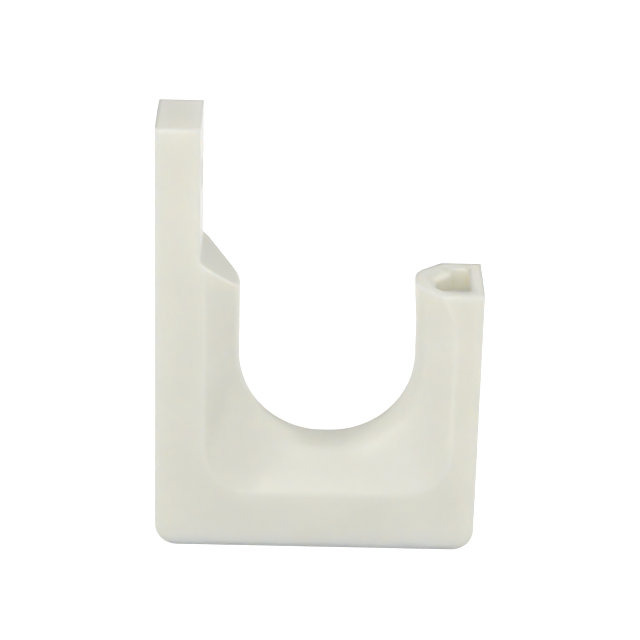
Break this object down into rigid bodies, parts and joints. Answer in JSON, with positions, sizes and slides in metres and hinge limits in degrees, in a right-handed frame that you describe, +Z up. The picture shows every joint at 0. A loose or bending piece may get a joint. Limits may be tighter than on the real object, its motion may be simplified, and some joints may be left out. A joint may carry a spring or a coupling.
{
  "type": "cable support j-hook",
  "caption": "One-piece moulded nylon J-hook: a wall stem with a screw hole, a round-edged saddle that cradles a cable bundle, and a lip with a small pocket in its top.",
  "frame": {"origin": "the screw hole's axis where it meets the wall face, at mid-depth", "axes": "+X out of the wall along the screw, +Y along the cables towards the back, +Z up along the stem"},
  "size_m": [0.0934, 0.0254, 0.1299],
  "materials": {
    "natural_nylon": "moulded natural nylon 6/6, undyed, slightly translucent, soft gloss"
  },
  "bodies": {
    "root": {"j_hook": "natural_nylon"}
  },
  "joints": []
}
